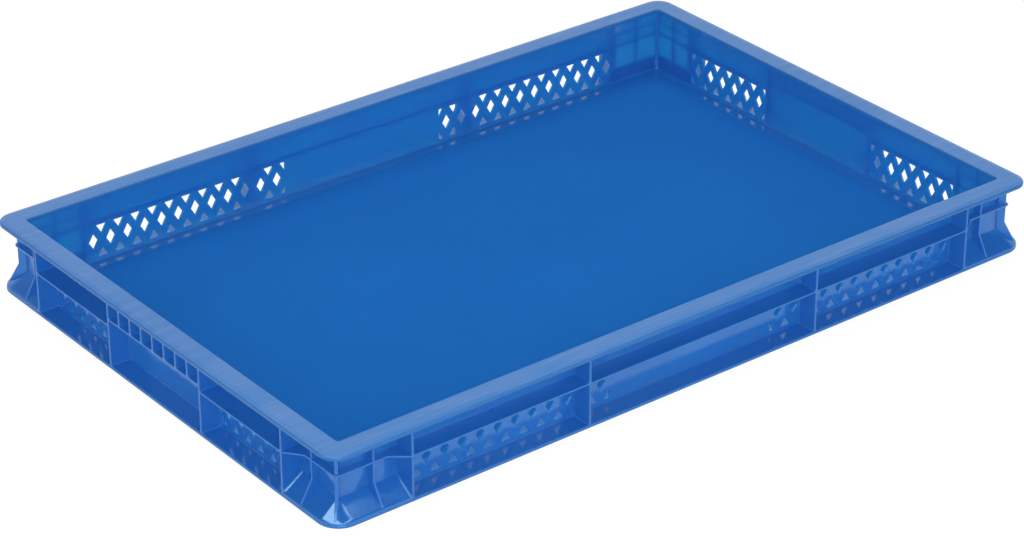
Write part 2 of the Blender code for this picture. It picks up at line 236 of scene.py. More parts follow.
def light_panes(material):
    """Brighten the inner face of a wall between the ribs of its corners."""
    tree = material.node_tree
    shader = tree.nodes["Principled BSDF"]
    blue = shader.inputs["Base Color"].links[0].from_socket
    place = add_node(tree, "ShaderNodeTexCoord").outputs["Object"]
    axes = add_node(tree, "ShaderNodeSeparateXYZ", {"Vector": place})
    spans = []
    for axis, side, reach in (("X", "front", half_length), ("Y", "right", half_width)):
        away = add_node(tree, "ShaderNodeMath", {0: axes.outputs[axis]}, operation="ABSOLUTE")
        span = add_node(tree, "ShaderNodeMapRange", {"Value": away.outputs[0]},
                        From_Min=rib_places(side)[3], From_Max=reach - wall_inner)
        spans.append(span.outputs["Result"])
    along = add_node(tree, "ShaderNodeMath", {0: spans[0], 1: spans[1]}, operation="MINIMUM").outputs[0]
    columns = grey_ramp(tree, along, ((0.04, 0.0), (0.11, 1.0), (0.43, 1.0), (0.51, 0.1), (0.59, 1.0),
                                      (0.95, 1.0)))
    height = add_node(tree, "ShaderNodeMapRange", {"Value": axes.outputs["Z"]},
                      From_Min=floor_top, From_Max=rim_under)
    shelf_middle, upper_middle = level((shelf_low + shelf_high) / 2), level(upper_low + 0.0007)
    skirt = level(skirt_top)
    rows = grey_ramp(tree, height.outputs["Result"], (
        (skirt, 0.0), (skirt + 0.07, 1.0), (shelf_middle - 0.06, 1.0), (shelf_middle, 0.15),
        (shelf_middle + 0.06, 0.65), (upper_middle - 0.05, 0.65), (upper_middle, 0.2),
        (upper_middle + 0.04, 0.6)))
    normal = add_node(tree, "ShaderNodeNewGeometry").outputs["Normal"]
    outward = add_node(tree, "ShaderNodeVectorMath", {0: normal, 1: place}, operation="DOT_PRODUCT")
    share = add_node(tree, "ShaderNodeMath", {0: outward.outputs["Value"]}, operation="LESS_THAN")
    share.inputs[1].default_value = 0.0
    for mask in (columns, rows):
        share = add_node(tree, "ShaderNodeMath", {0: share.outputs[0], 1: mask}, operation="MULTIPLY")
    lit = add_node(tree, "ShaderNodeMix", {0: share.outputs[0]}, data_type="RGBA")
    tree.links.new(blue, lit.inputs[6])
    lit.inputs[7].default_value = (0.0225, 0.162, 0.468, 1.0)
    tree.links.new(lit.outputs[2], shader.inputs["Base Color"])


light_panes(wall_blue)
print("panes of light on", wall_blue.name)

# %% [markdown]
# ## The floor's finish
# Goods slide on the floor, so its middle is rubbed matt, while the strip along the walls keeps the gloss of
# the mould. The mask is the distance to the nearest wall, worked out from the Object coordinates.

# %% Floor finish
def floor_moulded_blue():
    """Plastic that is matt in the middle of the floor and glossy near the walls."""
    material, tree, shader, place = plastic_base("floor_moulded_blue")
    blue = mottled_blue(tree, place, (0.011, 0.118, 0.415), (0.012, 0.126, 0.435))
    tree.links.new(blue, shader.inputs["Base Color"])
    axes = add_node(tree, "ShaderNodeSeparateXYZ", {"Vector": place})
    shares = []
    for axis, reach in (("X", half_length), ("Y", half_width)):
        for sign, start, end, least in ((1, 0.006, 0.011, 0.0), (-1, 0.010, 0.018, 0.0)):
            gap = add_node(tree, "ShaderNodeMath", {0: axes.outputs[axis]}, operation="MULTIPLY_ADD")
            gap.inputs[1].default_value = -sign
            gap.inputs[2].default_value = reach - wall_inner
            share = add_node(tree, "ShaderNodeMapRange", {"Value": gap.outputs[0]},
                             interpolation_type="SMOOTHSTEP", From_Min=start, From_Max=end, To_Min=least)
            shares.append(share.outputs["Result"])
    rubbed = shares[0]
    for share in shares[1:]:
        rubbed = add_node(tree, "ShaderNodeMath", {0: rubbed, 1: share}, operation="MULTIPLY").outputs[0]
    tree.links.new(between(tree, rubbed, 0.60, 0.0), shader.inputs["Specular IOR Level"])
    tree.links.new(between(tree, rubbed, 0.06, 0.45), shader.inputs["Roughness"])
    tree.links.new(skin(tree, place, 260.0, 0.00003), shader.inputs["Normal"])
    cloud_through(shader, 0.25, 0.001)
    return material


floor_blue = floor_moulded_blue()
print("mixed", floor_blue.name)

# %% [markdown]
# ## The scuffed rim
# The rim is the same blue, but trays stacked on it have rubbed its top dull and pale. Only faces that look
# up are worn, so the wear is masked with the surface's own normal. A stretched noise, turned aside, draws
# the scrapes. Soft darker stripes on the end rails are painted shade where the cells of the grips lie below.

# %% Scuffed finish
def painted_comb_shade(tree, place):
    """Painted shade: soft darker stripes on the end rails, where the cells of the grips lie below the rim."""
    axes = add_node(tree, "ShaderNodeSeparateXYZ", {"Vector": place})
    stripes = add_node(tree, "ShaderNodeTexWave", {"Vector": place}, bands_direction="Y", Scale=23.3,
                       Distortion=0.6, Phase_Offset=1.6)
    shade = between(tree, stripes.outputs["Fac"], 0.0, 0.45)
    for axis, start, end in (("X", half_length - 0.020, half_length - 0.016), ("Y", 0.058, 0.048)):
        away = add_node(tree, "ShaderNodeMath", {0: axes.outputs[axis]}, operation="ABSOLUTE")
        share = add_node(tree, "ShaderNodeMapRange", {"Value": away.outputs[0]}, From_Min=start, From_Max=end)
        shade = add_node(tree, "ShaderNodeMath", {0: shade, 1: share.outputs["Result"]},
                         operation="MULTIPLY").outputs[0]
    return shade


def scuffed_rim_blue():
    """Plastic that is worn pale and dull on top and still glossy on its edges."""
    material, tree, shader, place = plastic_base("scuffed_rim_blue")
    upward = add_node(tree, "ShaderNodeSeparateXYZ",
                      {"Vector": add_node(tree, "ShaderNodeNewGeometry").outputs["Normal"]})
    worn = add_node(tree, "ShaderNodeMapRange", {"Value": upward.outputs["Z"]}, From_Min=0.80, From_Max=0.985)
    slow = add_node(tree, "ShaderNodeTexNoise", {"Vector": place}, Scale=24.0, Detail=4.0)
    clouds = ramp(tree, slow.outputs["Fac"], [(0.25, (0.042, 0.176, 0.470)), (0.55, (0.060, 0.188, 0.480)),
                                               (0.8, (0.088, 0.206, 0.490))])
    turned = add_node(tree, "ShaderNodeMapping", {"Vector": place}, Rotation=(0.0, 0.0, radians(35)),
                      Scale=(18.0, 420.0, 18.0))
    scrapes = add_node(tree, "ShaderNodeTexNoise", {"Vector": turned.outputs["Vector"]}, Scale=1.0, Detail=3.0)
    marks = add_node(tree, "ShaderNodeMapRange", {"Value": scrapes.outputs["Fac"]}, From_Min=0.50, From_Max=0.66)
    rubbed = add_node(tree, "ShaderNodeMix", data_type="RGBA")
    tree.links.new(between(tree, marks.outputs["Result"], 0.0, 0.45), rubbed.inputs[0])
    tree.links.new(clouds, rubbed.inputs[6])
    rubbed.inputs[7].default_value = (0.135, 0.235, 0.53, 1.0)
    colour = add_node(tree, "ShaderNodeMix", data_type="RGBA")
    tree.links.new(worn.outputs["Result"], colour.inputs[0])
    # painted shade of the grip cells: darker stripes over the worn top of the end rails
    shaded = add_node(tree, "ShaderNodeMix", {0: painted_comb_shade(tree, place)}, data_type="RGBA")
    tree.links.new(rubbed.outputs[2], shaded.inputs[6])
    shaded.inputs[7].default_value = (0.034, 0.150, 0.430, 1.0)
    colour.inputs[6].default_value = (0.020, 0.122, 0.370, 1.0)
    tree.links.new(shaded.outputs[2], colour.inputs[7])
    tree.links.new(colour.outputs[2], shader.inputs["Base Color"])
    tree.links.new(between(tree, worn.outputs["Result"], 0.10, 0.34), shader.inputs["Roughness"])
    cloud_through(shader, 0.1, 0.001)
    tree.links.new(skin(tree, place, 190.0, 0.00006), shader.inputs["Normal"])
    return material


scuffed_blue = scuffed_rim_blue()
print("mixed", scuffed_blue.name)

# %% [markdown]
# ## From bmesh to piece
# A bmesh is only geometry. To become a piece of the part it needs outward normals, an object at the
# origin, smooth shading that still breaks at hard edges, a finish, a body to ride on and the names of the
# CAD nodes that it stands for. Weighted normals keep big flat faces flat beside their small bevels.

# %% Finish a piece
def make_piece(name, bm, finish, nodes):
    """Turn a bmesh into a piece that replaces CAD nodes."""
    bmesh.ops.recalc_face_normals(bm, faces=bm.faces)
    mesh = bpy.data.meshes.new(name)
    bm.to_mesh(mesh)
    bm.free()
    mesh.materials.append(finish)
    mesh.shade_smooth()
    mesh.set_sharp_from_angle(angle=radians(42))
    piece = bpy.data.objects.new(name, mesh)
    bpy.context.scene.collection.objects.link(piece)
    weighted = piece.modifiers.new("weighted_normals", "WEIGHTED_NORMAL")
    weighted.keep_sharp = True
    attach(piece, "root")
    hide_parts(*nodes)
    print(f"{name}: {len(mesh.polygons)} faces for {len(nodes)} solids")
    return piece


def bevel_edges(bm, edges, width, segments):
    """Round edges with a circular profile."""
    return bmesh.ops.bevel(bm, geom=edges, offset=width, offset_type="OFFSET", segments=segments, profile=0.5,
                           affect="EDGES", material=-1, clamp_overlap=True)


def bevel_corners(bm, corners, width, segments):
    """Round the corners of a flat outline."""
    return bmesh.ops.bevel(bm, geom=corners, offset=width, offset_type="OFFSET", segments=segments,
                           profile=0.5, affect="VERTICES", material=-1, clamp_overlap=True)


def thicken(bm, faces, shift):
    """Copy faces by a shift and close the sides between them. Returns the moved vertices."""
    result = bmesh.ops.extrude_face_region(bm, geom=faces, use_keep_orig=True)
    moved = [item for item in result["geom"] if isinstance(item, bmesh.types.BMVert)]
    bmesh.ops.translate(bm, vec=shift, verts=moved)
    return moved


def rounded_plan(bm, inset, radius, level, segments=8):
    """A level rectangle of the tray's plan with round corners."""
    before = set(bm.verts)
    bmesh.ops.create_grid(bm, x_segments=1, y_segments=1, size=1.0)
    corners = [vert for vert in bm.verts if vert not in before]
    bmesh.ops.scale(bm, vec=(half_length - inset, half_width - inset, 1), verts=corners)
    bmesh.ops.translate(bm, vec=(0, 0, level), verts=corners)
    bevel_corners(bm, corners, radius, segments)


print("piece helpers ready")

# %% [markdown]
# ## Floor and flange
# The floor is one flat plate. It runs out under the walls as a flange that the ribs stand on. A rounded
# rectangle is thickened, and only the upper and lower outer edges are rounded, because a moulded flange
# has no sharp rim to catch on hands.

# %% Floor
base_radius = 0.0165
flange_round = 0.0010


def floor_piece():
    """Plate with a rounded edge."""
    bm = bmesh.new()
    rounded_plan(bm, 0.0, base_radius, floor_under, 10)
    thicken(bm, bm.faces[:], (0, 0, floor_top - floor_under))
    rims = [edge for edge in bm.edges if abs(edge.verts[0].co.z - edge.verts[1].co.z) < 1e-6]
    bevel_edges(bm, rims, flange_round, 4)
    return make_piece("floor_and_flange", bm, floor_blue, ["floor_plate"])


floor_piece()

# %% [markdown]
# ## Stacking foot
# A low ring under the floor drops into the rim of the tray below. Rounded outlines are bridged one to the
# next round its section, which gives one ring with no joints at its corners.

# %% Foot
foot_low, foot_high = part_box("front_stacking_foot")
foot_outer = half_width + foot_low.y
foot_inner = half_width + foot_high.y
hair = 0.00003


def ring(bm, section, corner):
    """A ring round the tray, bridged through outlines at the insets and levels of a closed section.

    Every other outline lies a hair lower, as bridging can twist outlines that lie on one level.
    """
    loops = []
    for number, (inset, level) in enumerate(section):
        before = set(bm.edges)
        rounded_plan(bm, inset, max(corner - inset, 0.0020), level - number % 2 * hair)
        loops.append([edge for edge in bm.edges if edge not in before])
    outlines = [face for face in bm.faces if len(face.verts) > 4]
    bmesh.ops.delete(bm, geom=outlines, context="FACES_ONLY")
    for loop, following in zip(loops, loops[1:] + loops[:1]):
        bmesh.ops.bridge_loops(bm, edges=loop + following)


def arc(inset, level, radius, start, end, steps):
    """Points of a circular arc in a section, between two angles in degrees."""
    angles = [radians(start + (end - start) * step / steps) for step in range(steps + 1)]
    return [(inset + radius * cos(angle), level + radius * sin(angle)) for angle in angles]


def foot_piece():
    """Ring under the floor."""
    bm = bmesh.new()
    high, ease = floor_under + 0.0004, 0.0006
    section = arc(foot_outer + ease, ease + hair, ease, 180, 270, 3)
    section += arc(foot_inner - ease, ease + hair, ease, 270, 360, 3)
    ring(bm, section + [(foot_inner, high), (foot_outer, high)], foot_outer + 0.0040)
    return make_piece("stacking_foot", bm, floor_blue,
                      [f"{side}_stacking_foot" for side in sides])


foot_piece()

# %% [markdown]
# ## Cove
# Inside, the wall does not meet the floor in a sharp corner. A small hollow runs all round and shows as a
# thin bright line. It is one more ring, and it belongs to the floor.

# %% Cove
cove = 0.0006


def cove_piece():
    """Hollow fillet between floor and walls."""
    bm = bmesh.new()
    section = arc(wall_inner + cove, floor_top + cove, cove, 180, 270, 4)
    section += [(wall_inner + cove, floor_top - into), (wall_inner - into, floor_top - into),
                (wall_inner - into, floor_top + cove)]
    ring(bm, section, wall_inner + 0.0026)
    return make_piece("floor_cove", bm, floor_blue, ["floor_plate"])


cove_piece()

# %% [markdown]
# ## Rim
# The rim is a wide flat ring whose outer part falls away gently before it turns down into the lip. The
# section is a short list of insets and levels. Each of them becomes a rounded outline of the tray, and
# bridging one outline to the next sweeps the section round with even corners.

# %% Rim
lip_run = 0.0046
lip_drop = 0.0005
lip_round = 0.0014


def rim_piece():
    """Ring with a falling lip."""
    bm = bmesh.new()
    lip_top = rim_top - lip_drop
    section = [(lip_run, rim_top), (lip_run - 0.0012, rim_top - 0.00005)]
    section += arc(lip_round, lip_top - lip_round, lip_round, 100, 180, 6)
    section += arc(0.0004, rim_under + 0.0004, 0.0004, 180, 270, 2)
    section += [(wall_inner, rim_under)]
    section += arc(wall_inner - 0.0010, rim_top - 0.0010, 0.0010, 0, 90, 4)
    ring(bm, section, 0.0130)
    return make_piece("rim", bm, scuffed_blue, [f"{side}_rim_rail" for side in sides])


rim_piece()

# %% [markdown]
# ## Lattice walls
# The walls are thin plates pierced by rows of diamonds, with triangles above and below. A boolean cut
# would work, but drawing the outlines in the plate's plane and filling what lies between them is quicker
# and cleaner. The filled face is thickened, and the edges of the holes are eased.

# %% Lattice sizes
lattice_middle = floor_top + 0.0157
lattice_top = floor_top + 0.0278
lattice_bottom = floor_top + 0.0032
lattice_rise = 0.0117
strut = 0.0058
upper_tip = lattice_middle + 0.0052
lower_tip = lattice_middle - 0.0059
long_pitch = 0.01408
end_pitch = 0.0139


def diamond(centre, half_pitch):
    """Corners of a whole lattice cell, less its struts."""
    slope = lattice_rise / half_pitch
    tall = lattice_rise - strut / 2 * (1 + slope ** 2) ** 0.5
    wide = tall / slope
    return [(centre + wide, lattice_middle), (centre, lattice_middle + tall),
            (centre - wide, lattice_middle), (centre, lattice_middle - tall)]


def triangle(centre, half_pitch, edge, left_share, right_share):
    """Corners of a cell cut off at the lattice's edge. A share of 0 leaves out that half."""
    tip = upper_tip if edge > lattice_middle else lower_tip
    wide = abs(edge - tip) * half_pitch / lattice_rise
    return [(centre, tip), (centre + right_share * wide, edge), (centre - left_share * wide, edge)]


def cell_run(first, columns, half_pitch, half_first, half_last):
    """Outlines of a run of cells that starts on a cell line."""
    holes = [diamond(first + (2 * column + 1) * half_pitch, half_pitch) for column in range(columns)]
    lines = [(line, 1, 1) for line in range(1, columns)]
    if half_first:
        lines.append((0, 0, 1))
    if half_last:
        lines.append((columns, 1, 0))
    for line, left, right in lines:
        for edge in (lattice_top, lattice_bottom):
            holes.append(triangle(first + 2 * line * half_pitch, half_pitch, edge, left, right))
    return holes


def lattice_holes(side):
    """All holes of one wall. The two halves of a wall mirror each other."""
    inner, outer = rib_places(side)[2:]
    if side in ("front", "back"):
        half = long_pitch / 2
        holes = cell_run(inner, 10, half, False, False) + cell_run(inner - 4 * half, 2, half, True, False)
    else:
        half = end_pitch / 2
        holes = cell_run((inner + outer) / 2 - 6 * half, 6, half, True, True)
    return holes + [[(-along, height) for along, height in hole] for hole in holes]


print("holes:", {side: len(lattice_holes(side)) for side in sides})

# %% [markdown]
# ## From outlines to walls
# All holes of a wall and its own outline are drawn on one plane. Triangle fill then covers only the area
# between them, since it takes an outline inside another one for a hole.

# %% Walls
def outline_face(bm, corners, depth):
    """A flat face that stands upright at a depth, from places along the side and heights."""
    return bm.faces.new([bm.verts.new((along, depth, height)) for along, height in corners])


def fill_between(bm):
    """Replace overlapping outlines by the area between them."""
    bmesh.ops.delete(bm, geom=bm.faces[:], context="FACES_ONLY")
    bmesh.ops.triangle_fill(bm, edges=bm.edges[:], use_beauty=True, normal=(0, -1, 0))


def wall_piece(side):
    """Thin wall with its lattice."""
    reach, run = sides[side][1:]
    end = run - wall_outer if side in ("front", "back") else run - wall_inner + into
    low, high = floor_top - into, rim_under + into
    bm = bmesh.new()
    for hole in lattice_holes(side):
        outline_face(bm, hole, wall_outer - reach)
    bevel_corners(bm, bm.verts[:], 0.0004, 2)
    outline_face(bm, [(-end, low), (end, low), (end, high), (-end, high)], wall_outer - reach)
    fill_between(bm)
    thicken(bm, bm.faces[:], (0, wall_inner - wall_outer - 0.00003, 0))
    eased = [edge for edge in bm.edges if edge.calc_face_angle(0) > 0.9
             and abs(edge.verts[0].co.y - edge.verts[1].co.y) < 1e-6
             and all(low + into / 2 < vert.co.z < high - into / 2 and abs(vert.co.x) < end - into / 2
                     for vert in edge.verts)]
    bevel_edges(bm, eased, 0.00012, 2)
    turn_to_side(bm, side)
    return make_piece(f"{side}_lattice_wall", bm, wall_blue, [f"{side}_wall"])


for side in sides:
    wall_piece(side)

# %% [markdown]
# ## Rib frames
# Outside, upright and level ribs divide each wall into pockets. Seen from outside this is a thick plate
# with pockets in it, so it is made like that: the pockets' rounded outlines are drawn, the area between
# them is filled and pushed in towards the wall. In the last half millimetre the pockets narrow along a
# curve, which is the fillet that every moulded rib has at its root. Those fillets catch the light.

# %% Pockets
fillet = 0.0005
pocket_round = 0.0012


def side_pockets(side):
    """Pockets of a side as places along it and heights: left, right, low, high."""
    ribs = rib_places(side)
    low, high = floor_top + 0.00002, rim_under - 0.00002
    pockets = []
    for bay, (left, right) in enumerate(zip(ribs, ribs[1:])):
        left, right = left + rib_half, right - rib_half
        if bay == 1 and side in ("left", "right"):
            pockets.append((left, right, low, bar_low))
            pitch = (right - left + 2 * rib_half) / 8
            for cell in range(8):
                start = left + cell * pitch
                pockets.append((start, start + pitch - 2 * rib_half, bar_high, high))
        else:
            pockets.append((left, right, low, shelf_low))
            pockets.append((left, right, shelf_high, high))
    return pockets


def narrow_pockets(bm, verts, pockets, amount):
    """Pull the outlines of the pockets in by an amount on every side."""
    for left, right, low, high in pockets:
        outline = [vert for vert in verts if left - 1e-4 < vert.co.x < right + 1e-4
                   and low - 1e-4 < vert.co.z < high + 1e-4]
        middle = Vector(((left + right) / 2, 0, (low + high) / 2))
        share = (1 - 2 * amount / (right - left), 1, 1 - 2 * amount / (high - low))
        bmesh.ops.scale(bm, vec=share, verts=outline, space=Matrix.Translation(-middle))


print("pockets:", {side: len(side_pockets(side)) for side in sides})

# %% [markdown]
# ## From pockets to frames
# The plate is thickened almost up to the wall and then pushed in twice more. The pockets narrow a little
# at each push, and those two steps make the curve of the fillet.

# %% Frames
def push_in(bm, start, depth):
    """Push the plate's rear faces from a depth to one further in. Returns their vertices."""
    rear = [face for face in bm.faces if face.calc_center_median().y > start - 1e-6]
    result = bmesh.ops.extrude_face_region(bm, geom=rear)
    moved = [item for item in result["geom"] if isinstance(item, bmesh.types.BMVert)]
    bmesh.ops.delete(bm, geom=rear, context="FACES")
    for vert in moved:
        vert.co.y = depth
    return moved


def rib_frame_piece(side):
    """Ribs, shelves and grip of one side as a pocketed plate."""
    reach = sides[side][1]
    pockets = side_pockets(side)
    end = rib_places(side)[3] + rib_half
    low, high = floor_top - into, rim_under + into
    bm = bmesh.new()
    for left, right, bottom, top in pockets:
        outline_face(bm, [(left, bottom), (right, bottom), (right, top), (left, top)], rib_edge - reach)
    bevel_corners(bm, bm.verts[:], pocket_round, 3)
    outline_face(bm, [(-end, low), (end, low), (end, high), (-end, high)], rib_edge - reach)
    fill_between(bm)
    thicken(bm, bm.faces[:], (0, wall_outer - fillet - rib_edge, 0))
    start, halfway, root = (depth - reach for depth in (wall_outer - fillet, wall_outer - 0.29 * fillet,
                                                        wall_outer + 0.00005))
    narrow_pockets(bm, push_in(bm, start, halfway), pockets, 0.29 * fillet)
    narrow_pockets(bm, push_in(bm, halfway, root), pockets, 0.71 * fillet)
    eased = [edge for edge in bm.edges if edge.calc_face_angle(0) > 0.9
             and all(vert.co.y < rib_edge - reach + 1e-6 for vert in edge.verts)]
    bevel_edges(bm, eased, 0.0006, 3)
    turn_to_side(bm, side)
    nodes = [f"{side}_rib_{number}" for number in (1, 2, 3, 4)] + [f"{side}_shelf_1", f"{side}_shelf_2"]
    nodes.append(f"{side}_shelf_middle" if side in ("front", "back") else f"{side}_grip_comb")
    return make_piece(f"{side}_rib_frame", bm, gloss_blue, nodes)


for side in sides:
    rib_frame_piece(side)

# %% [markdown]
# ## Corner skirts
# At the foot of each corner the wall flares out to the flange in a hollow curve, like the foot of a bell.
# A section is drawn once and spun a quarter turn about the corner's centre. Both ends of that turn are
# then extruded along the sides, and rise in a small fillet where they meet the ribs. The other three
# corners are mirror images.

# %% Skirts
quarter = 0.0018
corners = {"front_left": (-1, -1), "front_right": (1, -1), "back_left": (-1, 1), "back_right": (1, 1)}
skirt_edge = floor_top + 0.0012
skirt_start_x = rib_places("front")[3]
skirt_start_y = rib_places("right")[3]


def skirt_point(share):
    """Inset and height on the flare's curve, from the wall at 0 to the flange at 1."""
    near, bend, far = (wall_outer + 0.0002, skirt_top), (0.0082, floor_top + 0.0057), (0.0006, skirt_edge)
    parts = ((1 - share) ** 2, 2 * share * (1 - share), share ** 2)
    return tuple(sum(part * point[axis] for part, point in zip(parts, (near, bend, far))) for axis in (0, 1))


def mirror_to_corner(bm, corner):
    """Mirror a mesh from the back right corner to its own corner."""
    bmesh.ops.scale(bm, vec=(*corners[corner], 1), verts=bm.verts)


def run_on(bm, face, shift, lift):
    """Extrude an end face by a shift, and lift it. Returns the new end face."""
    run = bmesh.ops.extrude_face_region(bm, geom=[face], use_keep_orig=True)["geom"]
    bmesh.ops.delete(bm, geom=[face], context="FACES_ONLY")
    moved = [item for item in run if isinstance(item, bmesh.types.BMVert)]
    bmesh.ops.translate(bm, vec=shift, verts=moved)
    raised = [vert for vert in moved if vert.co.z > floor_top]
    bmesh.ops.translate(bm, vec=(0, 0, lift), verts=raised)
    return next(item for item in run if isinstance(item, bmesh.types.BMFace))


def skirt_piece(corner):
    """Flared foot of a corner."""
    bm = bmesh.new()
    section = [skirt_point(step / 8) for step in range(9)]
    section += [(0.0003, skirt_edge - 0.0006), (0.0003, floor_top - into),
                (wall_outer + 0.0002, floor_top - into)]
    centre = Vector((half_length - base_radius, half_width - base_radius, 0))
    first = bm.faces.new([bm.verts.new((centre.x, half_width - inset, height)) for inset, height in section])
    turned = bmesh.ops.spin(bm, geom=[first], cent=centre, axis=(0, 0, 1), angle=radians(-90), steps=10,
                            use_merge=False, use_duplicate=False)["geom_last"]
    last = next(item for item in turned if isinstance(item, bmesh.types.BMFace))
    to_rib = (skirt_start_x + rib_half - centre.x, skirt_start_y + rib_half - centre.y)
    turns = [radians(90 * step / 4) for step in range(5)]
    rise = [(quarter * (sin(turn) - sin(following)), quarter * (cos(turn) - cos(following)))
            for turn, following in zip(turns, turns[1:])]
    for face, way, run in ((first, Vector((1, 0, 0)), to_rib[0]), (last, Vector((0, 1, 0)), to_rib[1])):
        for step, lift in [(run + quarter, 0), *rise, (-rib_half, 0)]:
            face = run_on(bm, face, step * way, lift)
    mirror_to_corner(bm, corner)
    return make_piece(f"{corner}_flared_skirt", bm, skirt_painted_shade_blue, [f"{corner}_skirt"])


for corner in corners:
    skirt_piece(corner)

# %% [markdown]
# ## Corner braces
# Between the end ribs a level collar runs round the corner, with a shallower rib above it, and three fins
# stand on the skirt: one on each side and one on the diagonal, which tapers towards its toe. Each is a flat
# outline, thickened and eased along its edges. A hollow fillet fills the corner inside. They share a mesh,
# since on the real tray they are one growth of the wall.

# %% Braces
collar_inset = 0.0095
last_ribs, fin_gaps = (0.2386, 0.1450), (0.0230, 0.0192)
fin_places = [rib + gap for rib, gap in zip(last_ribs, fin_gaps)]
fin_half = 0.00075
inner_round = 0.0022
upper_inset = wall_outer - 0.0030
kink = floor_top + 0.0164


def add_slab(bm, points, shift, ease):
    """A flat outline thickened by a shift, with its long edges eased."""
    face = bm.faces.new([bm.verts.new(point) for point in points])
    before = set(bm.faces)
    moved = thicken(bm, [face], shift)
    slab = set(bm.faces) - before | {face}
    edges = {edge for part in slab for edge in part.edges}
    bevel_edges(bm, [edge for edge in edges if edge.calc_face_angle(0) > 0.9], ease, 2)
    return moved


def fin_outline(outer, toe):
    """Insets and heights of a fin: upright, then running out along the skirt to its toe."""
    high = rim_under + into
    return [(wall_outer + into, high), (outer, high), (outer, kink), (toe, skirt_edge + 0.0002),
            (toe + 0.0012, floor_top), (wall_outer + into, floor_top)]


def brace_piece(corner):
    """Collar and fins of a corner."""
    bm = bmesh.new()
    start_x, start_y = skirt_start_x, skirt_start_y
    collar_x, collar_y = half_length - collar_inset, half_width - collar_inset
    plan = [(start_x, half_width - rib_edge), (start_x + rib_half, half_width - rib_edge),
            (start_x + 0.0126, collar_y), (collar_x - 0.003, collar_y),
            (collar_x - 0.0009, collar_y - 0.0009), (collar_x, collar_y - 0.003),
            (collar_x, start_y + 0.0126), (half_length - rib_edge, start_y + rib_half),
            (half_length - rib_edge, start_y), (half_length - wall_outer - into, start_y),
            (half_length - wall_outer - into, half_width - wall_outer - into),
            (start_x, half_width - wall_outer - into)]
    add_slab(bm, [(x, y, shelf_low) for x, y in plan], (0, 0, shelf_high - shelf_low), 0.0004)
    outer, root = upper_inset, wall_outer + into
    upper = [(start_x, half_width - outer), (half_length - outer, half_width - outer),
             (half_length - outer, start_y), (half_length - root, start_y),
             (half_length - root, half_width - root), (start_x, half_width - root)]
    add_slab(bm, [(x, y, upper_low) for x, y in upper], (0, 0, shelf_high - shelf_low), 0.0003)
    fin = fin_outline(collar_inset + 0.0002, 0.0010)
    add_slab(bm, [(fin_places[0] - fin_half, half_width - inset, height) for inset, height in fin],
             (2 * fin_half, 0, 0), 0.0004)
    add_slab(bm, [(half_length - inset, fin_places[1] - fin_half, height) for inset, height in fin],
             (0, 2 * fin_half, 0), 0.0004)
    hollow = arc(wall_inner + inner_round, wall_inner + inner_round, inner_round, 180, 270, 5)
    hollow += [(wall_inner + inner_round, wall_inner - into), (wall_inner - into, wall_inner - into),
               (wall_inner - into, wall_inner + inner_round)]
    face = bm.faces.new([bm.verts.new((half_length - along, half_width - inset, floor_top - into))
                         for along, inset in hollow])
    thicken(bm, [face], (0, 0, rim_under - floor_top + 2 * into))
    half = 0.0013 * 0.5 ** 0.5
    diagonal = fin_outline(0.0116, 0.0058)
    before = set(bm.verts)
    add_slab(bm, [(half_length - inset - half, half_width - inset + half, height) for inset, height in diagonal],
             (2 * half, -2 * half, 0), 0.0004)
    for vert in set(bm.verts) - before:
        share = min(0.5 * (kink - vert.co.z) / (kink - floor_top), 0.5)
        aside = max(share, 0.0) * (vert.co.x - half_length - vert.co.y + half_width) / 2
        vert.co += Vector((-aside, aside, 0))
    mirror_to_corner(bm, corner)
    return make_piece(f"{corner}_collar_and_fins", bm, gloss_blue, [f"{corner}_brace"])


for corner in corners:
    brace_piece(corner)

# %% [markdown]
# ## Studio
# The tray stands on a plain white floor. The floor shows white to the camera and in reflections, through
# the Light Path node, so the white does not have to be burnt in with lamps that would wash out the blue.
# Its matt part still takes the shadow.

# %% Floor of the studio
def white_floor():
    """Wide pale floor under the tray."""
    bm = bmesh.new()
    bmesh.ops.create_grid(bm, x_segments=1, y_segments=1, size=8.0)
    mesh = bpy.data.meshes.new("studio_floor")
    bm.to_mesh(mesh)
    bm.free()
    material = bpy.data.materials.new("studio_white")
    material.use_nodes = True
    tree = material.node_tree
    tree.nodes.remove(tree.nodes["Principled BSDF"])
    path = add_node(tree, "ShaderNodeLightPath")
    seen = add_node(tree, "ShaderNodeMath", {0: path.outputs["Is Camera Ray"], 1: path.outputs["Is Glossy Ray"]},
                    operation="MAXIMUM")
    seen = add_node(tree, "ShaderNodeMath", {0: seen.outputs[0], 1: path.outputs["Is Transmission Ray"]},
                    operation="MAXIMUM")
    share = between(tree, seen.outputs[0], 0.0, 0.85)
    matt = add_node(tree, "ShaderNodeBsdfDiffuse", Color=(0.60, 0.60, 0.60, 1.0))
    white = add_node(tree, "ShaderNodeEmission", Color=(1.0, 1.0, 1.0, 1.0), Strength=1.1)
    mix = add_node(tree, "ShaderNodeMixShader", {0: share, 1: matt.outputs[0], 2: white.outputs[0]})
    tree.links.new(mix.outputs[0], tree.nodes["Material Output"].inputs["Surface"])
    mesh.materials.append(material)
    floor = bpy.data.objects.new("studio_floor", mesh)
    bpy.context.scene.collection.objects.link(floor)


white_floor()
print("white floor laid")

# %% [markdown]
# ## Light
# The world is a band of white screens round the horizon under a dark ceiling. Four soft boxes fill from the
# camera's side and cast no shadow, as in the photograph's even light. A large box overhead models the form,
# and two low strips behind shine through the cloudy walls. The last two are cards: they are seen only in
# reflections, and put the glints on the front corner.

